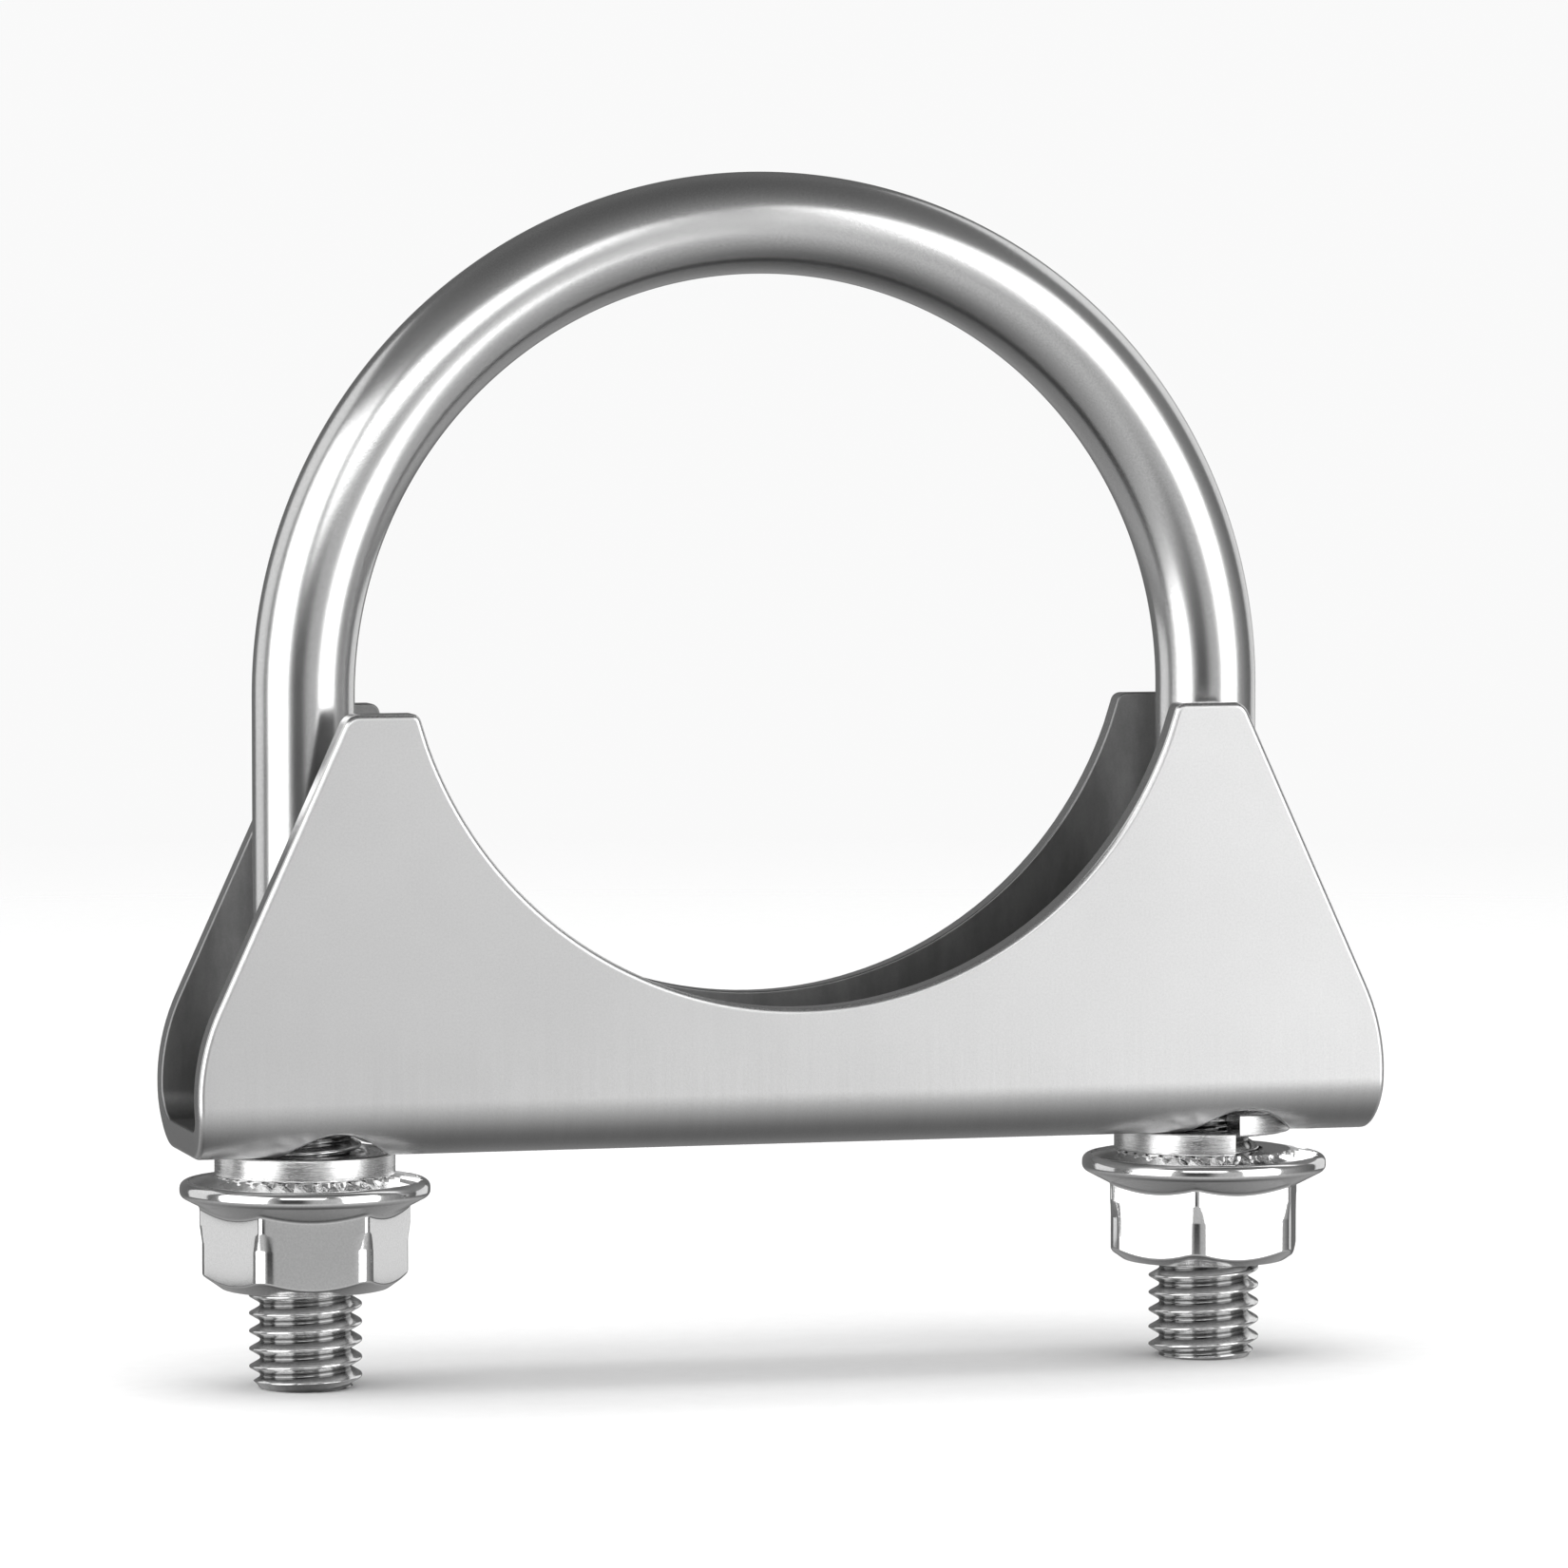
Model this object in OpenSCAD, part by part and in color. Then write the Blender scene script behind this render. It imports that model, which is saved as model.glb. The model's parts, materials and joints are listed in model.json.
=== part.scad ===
// Saddle-type U-bolt pipe clamp.
//
// A round bar is bent into a U and threaded M8 at both ends. The legs pass through
// a saddle folded from sheet steel, and a lock washer and a flange nut on each leg
// draw the saddle up against the pipe.
//
// Origin: centre of the pipe seat. X runs from leg to leg, Y is the pipe's axis and
// Z points up to the bend. The saddle, washers and nuts travel along Z.

/* [Bolt] */
// Diameter of the smooth bar, rolled down from the thread size
rod_d = 7.2; // [6.8:0.1:7.6]
// Outside diameter of the threads
thread_d = 8; // [7.9:0.05:8]
// Free width between the two legs
inside_w = 59; // [58:0.5:64]
// Length of each leg, from the centre of the bend to the tip
leg_len = 48.6; // [46:0.2:60]
// Length of thread on each leg
thread_len = 24; // [20:1:26]

/* [Saddle] */
// Diameter of the pipe that the saddle seats
seat_d = 57; // [52:0.5:57.4]
// How far the saddle is drawn up past the centre of the bend
run_up = 6.5; // [0:0.5:8]
// Length of the saddle, before its shoulders are rounded
saddle_len = 87; // [84:0.2:96]
// Width of the saddle over its two cheeks
saddle_w = 16; // [15:0.5:20]
// Thickness of the sheet
sheet_t = 2; // [1.6:0.1:2.4]
// Outside radius of the two long bends
bend_r = 4; // [3:0.25:4.5]
// Height of the saddle, from its underside to the tops of the horns
saddle_h = 31; // [29:0.5:33]
// Metal left between the seat and the underside
web_h = 9.9; // [9:0.1:12]
// Outer corner of a horn, measured from the middle of the saddle
horn_x = 32.5; // [31:0.5:34]
// Height of the upright part of each end
end_h = 6.9; // [6:0.1:9]
// How far each end leans in towards its foot
end_lean = 0.7; // [0:0.1:1]
// Radius where a slope runs into the upright end
shoulder_r = 15; // [8:1:18]
// Radius of the outer corner of each horn
horn_r = 1.2; // [0.6:0.1:2]

/* [Leg holes] */
// Diameter of each hole for a leg
hole_d = 10.6; // [10.2:0.1:11]
// How far the saddle rests off centre in its holes, towards the right leg
side_play = 1; // [0:0.1:1]
// Radius of the two notches that open each hole into the bends
notch_r = 3.7; // [3.2:0.1:4]
// Distance of the notch centres from the middle of the hole
notch_y = 3.7; // [3:0.1:4]
// Height of the notches above the underside
notch_h = 2.9; // [2.2:0.1:3.4]

/* [Nuts and washers] */
// Width across the flats of each nut
nut_af = 13; // [12:0.5:14]
// Height of each nut with its flange
nut_h = 8; // [7:0.1:8.6]
// Diameter of the flange
flange_d = 17.6; // [16.5:0.1:17.9]
// Thickness of the flange at its rim
flange_rim = 1.2; // [1:0.1:1.6]
// Outside diameter of each lock washer
washer_d = 12.7; // [12:0.1:13.4]
// Thickness of each lock washer
washer_t = 1.6; // [1.4:0.1:2]
// Width of the split in each lock washer, in degrees
split_a = 10; // [6:1:16]

/* [Hidden] */
$fn = 96;

slack = 0.02;      // air between faces that bear on each other
thread_gap = 0.05; // running clearance between a nut and its thread
over = 1;          // how far cutters run past what they cut

leg_x = (inside_w + rod_d) / 2;
bend_z = -run_up;
tip_z = bend_z - leg_len;
tip_chamfer = 1;

seat_r = seat_d / 2;
foot_z = -seat_r - web_h;
horn_z = foot_z + saddle_h;
half_len = saddle_len / 2;
inner_r = max(bend_r - sheet_t, 0.2);

washer_top = foot_z - slack;
washer_r = thread_d / 2 + 0.15;
nut_top = washer_top - washer_t - slack;
nut_bore_r = thread_d / 2 + thread_gap;
corner_r = nut_af / 2 / cos(30);
cone_top = 2.6;    // depth at which the flange's cone meets the hexagon

// Turned positions, in degrees from the +X axis
left_nut_turn = -6;
right_nut_turn = 8;
left_split = 75;
right_split = -84;

steel = [0.80, 0.80, 0.81];
plate = [0.84, 0.84, 0.85];
bright = [0.88, 0.88, 0.89];

// ---- helpers ----

function unit(v) = v / norm(v);

// Points that round corner p, on the way from a to b, with radius r
function fillet(a, p, b, r, steps = 12) =
    let (u = unit(a - p))
    let (v = unit(b - p))
    let (half = acos(u * v) / 2)
    let (centre = p + unit(u + v) * r / sin(half))
    let (start = p + u * r / tan(half) - centre)
    let (from = atan2(start[1], start[0]))
    let (sweep = -sign(cross(u, v)) * (180 - 2 * half))
    [for (i = [0:steps]) centre + r * [cos(from + sweep * i / steps), sin(from + sweep * i / steps)]];

// A channel section, open at the top: width w, bottom radius r, standing on the X axis
module trough(w, r, h) {
    union() {
        translate([-w / 2, r])
            square([w, h - r]);
        translate([-w / 2 + r, 0])
            square([w - 2 * r, h]);
        for (s = [-1, 1])
            translate([s * (w / 2 - r), r])
                circle(r);
    }
}

// ---- the bolt ----

// One leg, pointing down from the bend's centre line
module leg() {
    shank = leg_len - thread_len;
    step = (thread_d - rod_d) / 2;
    translate([0, 0, -shank])
        cylinder(h = shank, d = rod_d);
    translate([0, 0, -shank - step])
        cylinder(h = step, d1 = thread_d, d2 = rod_d);
    translate([0, 0, -leg_len + tip_chamfer])
        cylinder(h = thread_len - tip_chamfer - step, d = thread_d);
    translate([0, 0, -leg_len])
        cylinder(h = tip_chamfer, d1 = thread_d - 2 * tip_chamfer, d2 = thread_d);
}

module u_bolt() {
    color(steel)
        translate([-side_play, 0, bend_z])
            union() {
                rotate([90, 0, 0])
                    rotate_extrude(angle = 180)
                        translate([leg_x, 0])
                            circle(d = rod_d);
                for (s = [-1, 1])
                    translate([s * leg_x, 0, 0])
                        leg();
            }
}

// ---- the saddle ----

// Right half of the side view's outline, from the middle of the foot up to the seat
function half_outline() =
    let (foot = [half_len - end_lean, foot_z])
    let (shoulder = [half_len, foot_z + end_h])
    let (horn = [horn_x, horn_z])
    let (seat_edge = [seat_r / 2, horn_z])
    concat(
        [foot],
        fillet(foot, shoulder, horn, shoulder_r),
        fillet(shoulder, horn, seat_edge, horn_r)
    );

// The blank's outline seen along Y, both halves in one polygon
module side_view() {
    right = half_outline();
    left = [for (i = [len(right) - 1:-1:0]) [-right[i][0], right[i][1]]];
    difference() {
        polygon(concat(right, left));
        circle(seat_r, $fn = 192);
    }
}

// Hole for a leg, with a notch into each long bend
module leg_hole() {
    translate([0, 0, -over]) {
        cylinder(h = notch_h + 2 * over, d = hole_d);
        for (s = [-1, 1])
            translate([0, s * notch_y, 0])
                cylinder(h = notch_h + over, r = notch_r);
    }
}

module saddle() {
    color(plate)
        difference() {
            intersection() {
                // folded sheet, running along X
                translate([-half_len - over, 0, foot_z])
                    rotate([90, 0, 90])
                        linear_extrude(height = saddle_len + 2 * over)
                            difference() {
                                trough(saddle_w, bend_r, saddle_h + over);
                                translate([0, sheet_t])
                                    trough(saddle_w - 2 * sheet_t, inner_r, saddle_h + over);
                            }
                // the blank's outline, seen along Y
                translate([0, saddle_w / 2 + over, 0])
                    rotate([90, 0, 0])
                        linear_extrude(height = saddle_w + 2 * over)
                            side_view();
            }
            for (s = [-1, 1])
                translate([s * leg_x, 0, foot_z])
                    leg_hole();
        }
}

// ---- washers and nuts ----

// A split ring whose gap is centred on the angle split
module lock_washer(split) {
    translate([0, 0, washer_top - washer_t])
        rotate([0, 0, split + split_a / 2])
            rotate_extrude(angle = 360 - split_a)
                translate([washer_r, 0])
                    square([washer_d / 2 - washer_r, washer_t]);
}

// A hexagon with a round flange on top, turned by the angle turn
module flange_nut(turn) {
    translate([0, 0, nut_top])
        rotate([0, 0, turn])
            difference() {
                union() {
                    intersection() {
                        translate([0, 0, -nut_h])
                            cylinder(h = nut_h - flange_rim, r = corner_r, $fn = 6);
                        // chamfer on the six lower corners
                        union() {
                            translate([0, 0, -nut_h])
                                cylinder(h = 0.8, r1 = nut_af / 2 - 0.2, r2 = corner_r);
                            translate([0, 0, -nut_h + 0.8])
                                cylinder(h = nut_h, r = corner_r + over);
                        }
                    }
                    translate([0, 0, -flange_rim])
                        cylinder(h = flange_rim, d = flange_d);
                    translate([0, 0, -cone_top])
                        cylinder(h = cone_top - flange_rim, r1 = nut_af / 2, d2 = flange_d);
                }
                translate([0, 0, -nut_h - over])
                    cylinder(h = nut_h + 2 * over, r = nut_bore_r);
                // lead-in at each mouth of the thread
                translate([0, 0, -0.4])
                    cylinder(h = 0.8, r1 = nut_bore_r - 0.1, r2 = nut_bore_r + 0.7);
                translate([0, 0, -nut_h - 0.4])
                    cylinder(h = 0.8, r1 = nut_bore_r + 0.7, r2 = nut_bore_r - 0.1);
            }
}

module left_lock_washer() {
    color(bright)
        translate([-leg_x - side_play, 0, 0])
            lock_washer(left_split);
}

module right_lock_washer() {
    color(bright)
        translate([leg_x - side_play, 0, 0])
            lock_washer(right_split);
}

module left_flange_nut() {
    color(bright)
        translate([-leg_x - side_play, 0, 0])
            flange_nut(left_nut_turn);
}

module right_flange_nut() {
    color(bright)
        translate([leg_x - side_play, 0, 0])
            flange_nut(right_nut_turn);
}

u_bolt();
saddle();
left_lock_washer();
right_lock_washer();
left_flange_nut();
right_flange_nut();
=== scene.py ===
"""Saddle-type U-bolt pipe clamp: detailed meshes, metals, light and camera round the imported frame.

Metres throughout, in the frame's own axes: X from leg to leg, Y along the pipe, Z up to the bend.
"""

import json
from math import acos, asin, atan2, ceil, cos, pi, radians, sin, sqrt, tan

import bmesh
import bpy
from mathutils import Matrix, Vector
from mathutils.geometry import delaunay_2d_cdt


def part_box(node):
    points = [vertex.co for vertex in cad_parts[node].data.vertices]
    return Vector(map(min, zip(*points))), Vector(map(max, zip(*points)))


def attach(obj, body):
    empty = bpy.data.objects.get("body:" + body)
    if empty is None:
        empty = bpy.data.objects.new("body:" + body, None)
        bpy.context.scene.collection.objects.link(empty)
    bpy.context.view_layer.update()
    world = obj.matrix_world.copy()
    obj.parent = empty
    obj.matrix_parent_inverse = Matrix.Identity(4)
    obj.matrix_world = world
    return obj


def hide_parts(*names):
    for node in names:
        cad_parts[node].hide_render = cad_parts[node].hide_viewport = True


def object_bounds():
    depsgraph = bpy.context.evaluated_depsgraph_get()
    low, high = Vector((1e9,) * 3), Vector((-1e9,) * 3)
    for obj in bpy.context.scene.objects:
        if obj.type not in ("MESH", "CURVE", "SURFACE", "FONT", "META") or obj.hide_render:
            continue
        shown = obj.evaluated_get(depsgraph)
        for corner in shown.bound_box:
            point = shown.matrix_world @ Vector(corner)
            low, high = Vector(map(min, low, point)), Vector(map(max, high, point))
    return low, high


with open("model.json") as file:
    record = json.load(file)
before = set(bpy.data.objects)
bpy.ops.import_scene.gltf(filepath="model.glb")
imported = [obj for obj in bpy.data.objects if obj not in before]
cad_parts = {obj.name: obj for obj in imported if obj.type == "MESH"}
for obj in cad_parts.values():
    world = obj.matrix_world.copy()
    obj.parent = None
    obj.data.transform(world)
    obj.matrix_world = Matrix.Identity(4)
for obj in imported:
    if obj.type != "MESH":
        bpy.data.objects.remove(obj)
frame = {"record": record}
cad_low, cad_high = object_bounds()

MM = 0.001

# ---- sizes read from the frame ----

bolt_low, bolt_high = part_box("u_bolt")
saddle_low, saddle_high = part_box("saddle")
nut_low, nut_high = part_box("right_flange_nut")
left_nut_low, left_nut_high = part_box("left_flange_nut")
washer_low, washer_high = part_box("right_lock_washer")
mounts = {m["name"]: m for m in frame["record"]["mounts"]}

# The bolt, washers and nuts are built round X = 0, then moved to the middle of the legs
LEG_X = (nut_low.x + nut_high.x - left_nut_low.x - left_nut_high.x) / 4
LEGS_MID = (nut_low.x + nut_high.x + left_nut_low.x + left_nut_high.x) / 4
THREAD_R = bolt_high.y
ROD_R = 3.6 * MM
BEND_Z = bolt_high.z - LEG_X - ROD_R
TIP_Z = bolt_low.z

# The saddle is built round X = 0, where its pipe seat is
SEAT_R = mounts["pipe_seat"]["dims"]["r_mm"] * MM
FOOT_Z = saddle_low.z
HORN_Z = saddle_high.z
HALF_LEN = saddle_high.x
HALF_W = saddle_high.y

FLANGE_R = (nut_high.x - nut_low.x) / 2
NUT_TOP = nut_high.z
NUT_H = nut_high.z - nut_low.z
WASHER_TOP = washer_high.z
WASHER_T = washer_high.z - washer_low.z
WASHER_R = (washer_high.x - washer_low.x) / 2


# ---- camera ----

VIEW_AZIMUTH = -14.98
VIEW_ELEVATION = 3.62
VIEW_DISTANCE = 585 * MM
VIEW_TARGET = Vector((0.7, 0.0, -13.2)) * MM
LENS = 189.0
SENSOR = 36.0


def direction(azimuth, elevation):
    """Unit vector away from the clamp; azimuth runs from the front towards +X, both in degrees."""
    a, e = radians(azimuth), radians(elevation)
    return Vector((sin(a) * cos(e), -cos(a) * cos(e), sin(e)))


camera = bpy.data.objects.new("camera", bpy.data.cameras.new("camera"))
bpy.context.scene.collection.objects.link(camera)
bpy.context.scene.camera = camera
back = direction(VIEW_AZIMUTH, VIEW_ELEVATION)
camera.location = VIEW_TARGET + back * VIEW_DISTANCE
camera.rotation_mode = "QUATERNION"
camera.rotation_quaternion = (-back).to_track_quat("-Z", "Y")
camera.data.sensor_width = SENSOR
camera.data.lens = LENS
camera.data.clip_start = 0.01
camera.data.clip_end = 50.0


# ---- outlines ----

STRAIGHT = radians(88.5)      # half the angle of a corner so open that it isn't rounded


def fillet(a, p, b, radius, steps):
    """Points that round corner p on the way from a to b.

    A corner that is nearly straight gets as many points, set along the way close to it.
    """
    a, p, b = Vector(a), Vector(p), Vector(b)
    u, v = (a - p).normalized(), (b - p).normalized()
    half = acos(max(-1.0, min(1.0, u.dot(v)))) / 2
    if half > STRAIGHT:
        return [p + (v - u) / 2 * radius * 0.1 * (2 * i / steps - 1) for i in range(steps + 1)]
    centre = p + (u + v).normalized() * radius / sin(half)
    start = p + u * radius / tan(half) - centre
    first = atan2(start.y, start.x)
    turn = u.x * v.y - u.y * v.x
    sweep = (-1 if turn > 0 else 1) * (pi - 2 * half)
    return [centre + radius * Vector((cos(first + sweep * i / steps), sin(first + sweep * i / steps)))
            for i in range(steps + 1)]


def rounded(corners, steps):
    """A polyline of (x, y, radius) corners with each inner corner rounded to steps + 1 points."""
    pts = [Vector(c[:2]) for c in corners]
    out = [pts[0]]
    for i in range(1, len(pts) - 1):
        out += fillet(pts[i - 1], pts[i], pts[i + 1], corners[i][2], steps)
    return out + [pts[-1]]


def spaced(a, b, gap):
    """Points strictly between a and b, no more than gap apart."""
    n = max(1, ceil((b - a).length / gap))
    return [a.lerp(b, i / n) for i in range(1, n)]


def circle(n):
    """n angles evenly round a turn."""
    return [2 * pi * j / n for j in range(n)]


def ease(t):
    """0 to 1 as t goes from 0 to 1, level at both ends and beyond them."""
    t = min(max(t, 0.0), 1.0)
    return t * t * (3 - 2 * t)


# ---- meshes ----

def make_object(name, verts, faces, materials, closed=True, weld=None, sharp=None, normals=None,
                marks=None, material_of=None):
    """A smooth-shaded mesh object.

    closed: the faces enclose a volume and are all turned outwards.
    weld: vertices of a closed mesh that are closer than this are merged.
    sharp: edges that turn by more than this many degrees stay sharp.
    normals: one per vertex. marks: lists of one value per vertex, by attribute name.
    material_of: gives a face's place in materials from its centre.
    """
    mesh = bpy.data.meshes.new(name)
    mesh.from_pydata([tuple(v) for v in verts], [], faces)
    for material in materials:
        mesh.materials.append(material)
    for key, values in (marks or {}).items():
        mesh.attributes.new(key, "FLOAT", "POINT").data.foreach_set("value", values)
    if closed:
        bm = bmesh.new()
        bm.from_mesh(mesh)
        if weld:
            bmesh.ops.remove_doubles(bm, verts=bm.verts, dist=weld)
            bmesh.ops.dissolve_degenerate(bm, edges=bm.edges, dist=weld / 10)
        bmesh.ops.recalc_face_normals(bm, faces=bm.faces)
        bm.to_mesh(mesh)
        bm.free()
    if material_of:
        for face in mesh.polygons:
            face.material_index = material_of(face.center)
    mesh.polygons.foreach_set("use_smooth", [True] * len(mesh.polygons))
    if sharp:
        mesh.set_sharp_from_angle(angle=radians(sharp))
    if normals:
        mesh.normals_split_custom_set_from_vertices([tuple(n) for n in normals])
    mesh.update()
    obj = bpy.data.objects.new(name, mesh)
    bpy.context.scene.collection.objects.link(obj)
    return obj


def ring_faces(first, second, n):
    """Quads between two rings of n vertices that start at those indices."""
    return [(first + j, first + (j + 1) % n, second + (j + 1) % n, second + j) for j in range(n)]


# ---- threads ----

PITCH = 1.25 * MM
THREAD_DEPTH = 0.767 * MM
THREAD_LEN = 24 * MM
THREAD_TOP = TIP_Z + THREAD_LEN
CREST_IN = 0.02 * MM          # the crests stay this far inside the CAD's cylinder
ROOT_R = THREAD_R - CREST_IN - THREAD_DEPTH
# Share of a turn by which each leg's helix is advanced
THREAD_PHASE = {"left": 0.75, "right": 0.3}

# One turn of the thread's section: share of the pitch, share of the depth
HALF_THREAD = [(0.0, 0.0), (0.05, 0.014), (0.09, 0.055), (0.13, 0.14), (0.21, 0.358), (0.31, 0.64),
               (0.39, 0.866), (0.425, 0.948), (0.45, 0.985), (0.475, 0.998)]
THREAD_FORM = HALF_THREAD + [(0.5, 1.0)] + [(1 - u, h) for u, h in reversed(HALF_THREAD[1:])]


def helix_grid(centre_x, z_low, z_high, phase, angles, radius_at):
    """Right-handed thread surface between two levels, its rows following the helix.

    radius_at(depth share, z) gives the radius, the same all round at both levels.
    Returns vertices, faces and each vertex's depth share, 0 at the root and 1 at the crest.
    """
    around, per_turn = len(angles), len(THREAD_FORM)
    base = z_low - PITCH * (1 + phase)
    turns = ceil((z_high - base) / PITCH) + 1
    rows = [(k + u, h) for k in range(turns) for u, h in THREAD_FORM]
    verts, shares = [], []
    for u, h in rows:
        for a in angles:
            z = min(max(base + PITCH * (u + a / (2 * pi)), z_low), z_high)
            r = radius_at(h, z)
            verts.append((centre_x + r * cos(a), r * sin(a), z))
            shares.append(h)
    faces = []
    for i in range(len(rows) - 1):
        here, above = i * around, (i + 1) * around
        for j in range(around):
            if j < around - 1:
                quad = (here + j, here + j + 1, above + j + 1, above + j)
            elif i + 1 + per_turn < len(rows):
                # the seam joins the end of each row to the row that starts one turn up
                step = per_turn * around
                quad = (here + j, here + step, above + step, above + j)
            else:
                continue
            levels = [verts[q][2] for q in quad]
            if max(levels) > z_low and min(levels) < z_high:
                faces.append(quad)
    return verts, faces, shares


# ---- the bolt ----

AROUND = 72
SHANK_STEPS = 10
BEND_STEPS = 144
TIP_R = 3.05 * MM
TIP_EDGE = 0.2 * MM           # height of the rounded edge at the tip
TIP_EDGE_OUT = 0.28 * MM      # how far that edge comes out
TIP_SLOPE = 1.1               # growth of the chamfer's radius with height
RUNOUT = 1.6 * PITCH          # length over which the thread fades into the bar
# Sheared end of the bar, dished a little: radius, height
TIP_RINGS = [(TIP_R, 0.0), (2.6 * MM, 0.03 * MM), (1.6 * MM, 0.07 * MM), (0.6 * MM, 0.08 * MM)]


def thread_radius(h, z):
    """Radius of a leg's thread, chamfered at the tip and running out into the bar."""
    up = z - TIP_Z
    nose = 1 - min(up / TIP_EDGE, 1.0)
    limit = TIP_R + TIP_EDGE_OUT * sqrt(1 - nose * nose) + max(up - TIP_EDGE, 0.0) * TIP_SLOPE
    full = ROOT_R + THREAD_DEPTH * h
    return min(ROD_R + (full - ROD_R) * ease((THREAD_TOP - z) / RUNOUT), limit)


def bar_stations():
    """Centres of the smooth bar and their outward directions, from the right thread to the left."""
    def shank(side, steps):
        return [(Vector((side * LEG_X, 0, THREAD_TOP + (BEND_Z - THREAD_TOP) * k / SHANK_STEPS)),
                 Vector((side, 0, 0))) for k in steps]

    bend = []
    for k in range(BEND_STEPS + 1):
        a = pi * k / BEND_STEPS
        out = Vector((cos(a), 0, sin(a)))
        bend.append((Vector((0, 0, BEND_Z)) + LEG_X * out, out))
    return shank(1, range(SHANK_STEPS)) + bend + shank(-1, reversed(range(SHANK_STEPS)))


def build_bolt(materials):
    """The threaded legs and the bar between them; crest holds each place's depth share, which sets the
    painted shade in the thread's roots.
    """
    angles = circle(AROUND)
    verts, faces, crest = [], [], []
    bright_from = THREAD_TOP - 2 * PITCH
    for side, leg in ((-1, "left"), (1, "right")):
        grid, quads, shares = helix_grid(side * LEG_X, TIP_Z, THREAD_TOP, THREAD_PHASE[leg], angles,
                                         thread_radius)
        first = len(verts)
        verts += grid
        faces += [tuple(first + q for q in quad) for quad in quads]
        # the run-out gets no painted root shade, like the crests
        crest += [max(share, min((p[2] - bright_from) / PITCH, 1.0)) for p, share in zip(grid, shares)]
        start = len(verts)
        for r, up in TIP_RINGS:
            verts += [(side * LEG_X + r * cos(a), r * sin(a), TIP_Z + up) for a in angles]
        for k in range(len(TIP_RINGS) - 1):
            faces += ring_faces(start + k * AROUND, start + (k + 1) * AROUND, AROUND)
        last = start + (len(TIP_RINGS) - 1) * AROUND
        faces.append(tuple(range(last, last + AROUND)))
        crest += [1.0] * (len(verts) - len(crest))
    stations = bar_stations()
    start = len(verts)
    for centre, out in stations:
        for a in angles:
            verts.append(centre + ROD_R * (cos(a) * out + sin(a) * Vector((0, 1, 0))))
    for k in range(len(stations) - 1):
        faces += ring_faces(start + k * AROUND, start + (k + 1) * AROUND, AROUND)
    crest += [1.0] * (len(verts) - len(crest))
    return make_object("threaded_u_bolt", verts, faces, materials, weld=1e-6, marks={"crest": crest},
                       material_of=lambda centre: 1 if centre.z < THREAD_TOP - 0.5 * PITCH else 0)


# ---- the saddle ----
#
# The sheet is drawn flat, as a blank in (x, s), and folded: s is the distance from the middle
# of the floor, measured along the middle of the sheet.

SHEET = 2 * MM
BEND_OUT = 4 * MM
BEND_MID = BEND_OUT - SHEET / 2
FLOOR_HALF = HALF_W - BEND_OUT
CHEEK_Z = FOOT_Z + BEND_OUT
CHEEK_S = FLOOR_HALF + BEND_MID * pi / 2
HORN_X = 32.5 * MM
END_H = 6.9 * MM
END_LEAN = 0.7 * MM
SHOULDER_R = 15 * MM
HORN_OUT_R = 1.2 * MM
HORN_IN_R = 0.7 * MM
HORN_SEAT = 2.4 * MM          # stretch of the seat that takes part in the horn's inner corner
HOLE_R = 5.3 * MM
NOTCH_R = 4.1 * MM
NOTCH_S = 2.65 * MM
ROLL_R = 0.42 * MM            # rounded edge on the outer faces, left by the punch
BURR_R = 0.14 * MM            # edge on the inner faces

FOLD_STEPS = 15
HOLE_STEPS = 16
NOTCH_STEPS = 36
ROLL_STEPS = 6
BURR_STEPS = 3
SEAT_GAP = 1 * MM             # spacing of points along the seat
SLOPE_GAP = 1.5 * MM          # and along the slope up to the horn
GRID_X = 2 * MM               # spacing of points on the faces, along the saddle
GRID_S = 2.5 * MM             # and up the cheeks
EDGE_GAP = 0.55 * MM          # least distance of such a point from an edge


def fold(s):
    """Middle of the sheet at s on the blank: its place, outward normal and the direction of s."""
    side = 1 if s >= 0 else -1
    a = abs(s)
    if a <= FLOOR_HALF:
        y, z, turn = a, FOOT_Z + SHEET / 2, 0.0
    elif a < CHEEK_S:
        turn = (a - FLOOR_HALF) / BEND_MID
        y = FLOOR_HALF + BEND_MID * sin(turn)
        z = CHEEK_Z - BEND_MID * cos(turn)
    else:
        y, z, turn = HALF_W - SHEET / 2, CHEEK_Z + a - CHEEK_S, pi / 2
    normal = Vector((0, side * sin(turn), -cos(turn)))
    along = Vector((0, cos(turn), side * sin(turn)))
    return Vector((0, side * y, z)), normal, along


def side_outline():
    """Right half of the side view in (x, z), from the foot over the horn and down the seat."""
    horn = (HORN_X, HORN_Z)
    # the corner of the end lies a little outside, so that the rounded shoulder reaches HALF_LEN
    end_x = HALF_LEN
    for _ in range(3):
        shoulder = (end_x, FOOT_Z + END_H)
        foot = (end_x - END_LEAN, FOOT_Z)
        end_x += HALF_LEN - max(p.x for p in fillet(foot, shoulder, horn, SHOULDER_R, 48))
    inner_a = asin(-HORN_Z / SEAT_R)
    inner = Vector((SEAT_R * cos(inner_a), HORN_Z))
    seat_a = inner_a + HORN_SEAT / SEAT_R
    seat_start = Vector((SEAT_R * cos(seat_a), -SEAT_R * sin(seat_a)))
    pts = [Vector(foot)]
    pts += fillet(foot, shoulder, horn, SHOULDER_R, 12)
    arc = fillet(shoulder, horn, inner, HORN_OUT_R, 8)
    pts += spaced(pts[-1], arc[0], SLOPE_GAP) + arc
    arc = fillet(horn, inner, seat_start, HORN_IN_R, 8)
    pts += spaced(pts[-1], arc[0], SEAT_GAP) + arc
    pts.append(seat_start)
    n = ceil((pi / 2 - seat_a) * SEAT_R / SEAT_GAP)
    for i in range(1, n + 1):
        a = seat_a + (pi / 2 - seat_a) * i / n
        pts.append(Vector((SEAT_R * cos(a), -SEAT_R * sin(a))))
    return pts


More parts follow.
